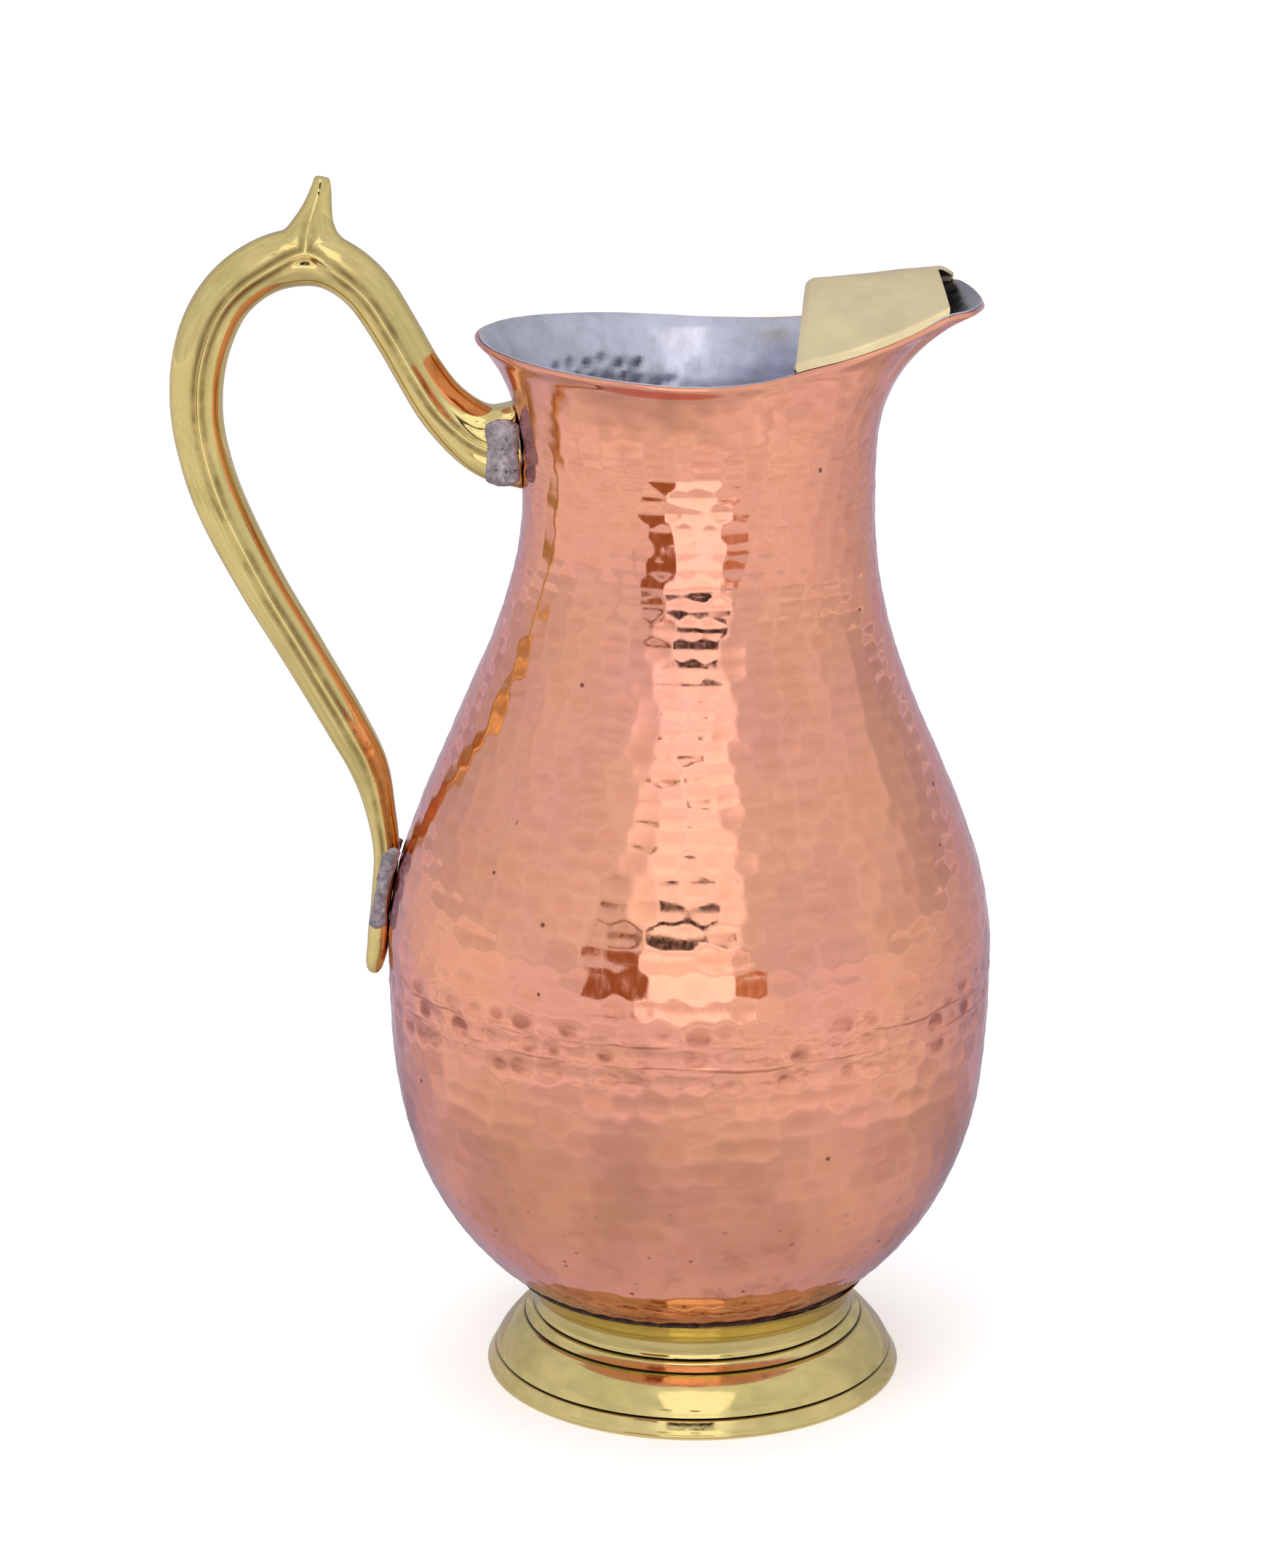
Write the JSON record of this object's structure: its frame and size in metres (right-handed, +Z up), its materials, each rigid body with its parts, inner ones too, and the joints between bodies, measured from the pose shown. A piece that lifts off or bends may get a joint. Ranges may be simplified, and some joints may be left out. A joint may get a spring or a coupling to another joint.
{
  "type": "copper pouring jug",
  "caption": "Hammered copper jug with a pear-shaped body, tinned inside, cast brass handle with a thumb spike, folded brass guard over the lip and a turned brass foot.",
  "frame": {"origin": "middle of the whole jug's box, on the plane that the foot stands on; the jug's own axis is 23.7 mm from it towards the spout", "axes": "+Z up along the jug's axis, +X towards the pouring lip, -X towards the handle, Y across"},
  "size_m": [0.1872, 0.14, 0.2827],
  "materials": {
    "bowl_copper": "hammered and polished copper, lacquered",
    "shoulder_copper": "hammered and polished copper, lacquered",
    "seam_braze": "brazed seam, hammered flush and polished",
    "tin": "wiped tin, satin",
    "guard_brass": "satin brass sheet",
    "foot_brass": "turned and polished brass",
    "handle_brass": "cast and polished brass",
    "solder": "dull soft solder",
    "foot_solder": "dark soldered joint"
  },
  "bodies": {
    "root": {"lower_body": "bowl_copper", "upper_body": "shoulder_copper", "belly_seam": "seam_braze", "tin_lining": "tin", "spout_guard": "guard_brass", "guard_solder_near": "solder", "guard_solder_far": "solder", "foot": "foot_brass", "foot_solder": "foot_solder", "handle": "handle_brass", "neck_solder_near": "solder", "neck_solder_far": "solder", "tail_solder_near": "solder", "tail_solder_far": "solder"}
  },
  "joints": []
}
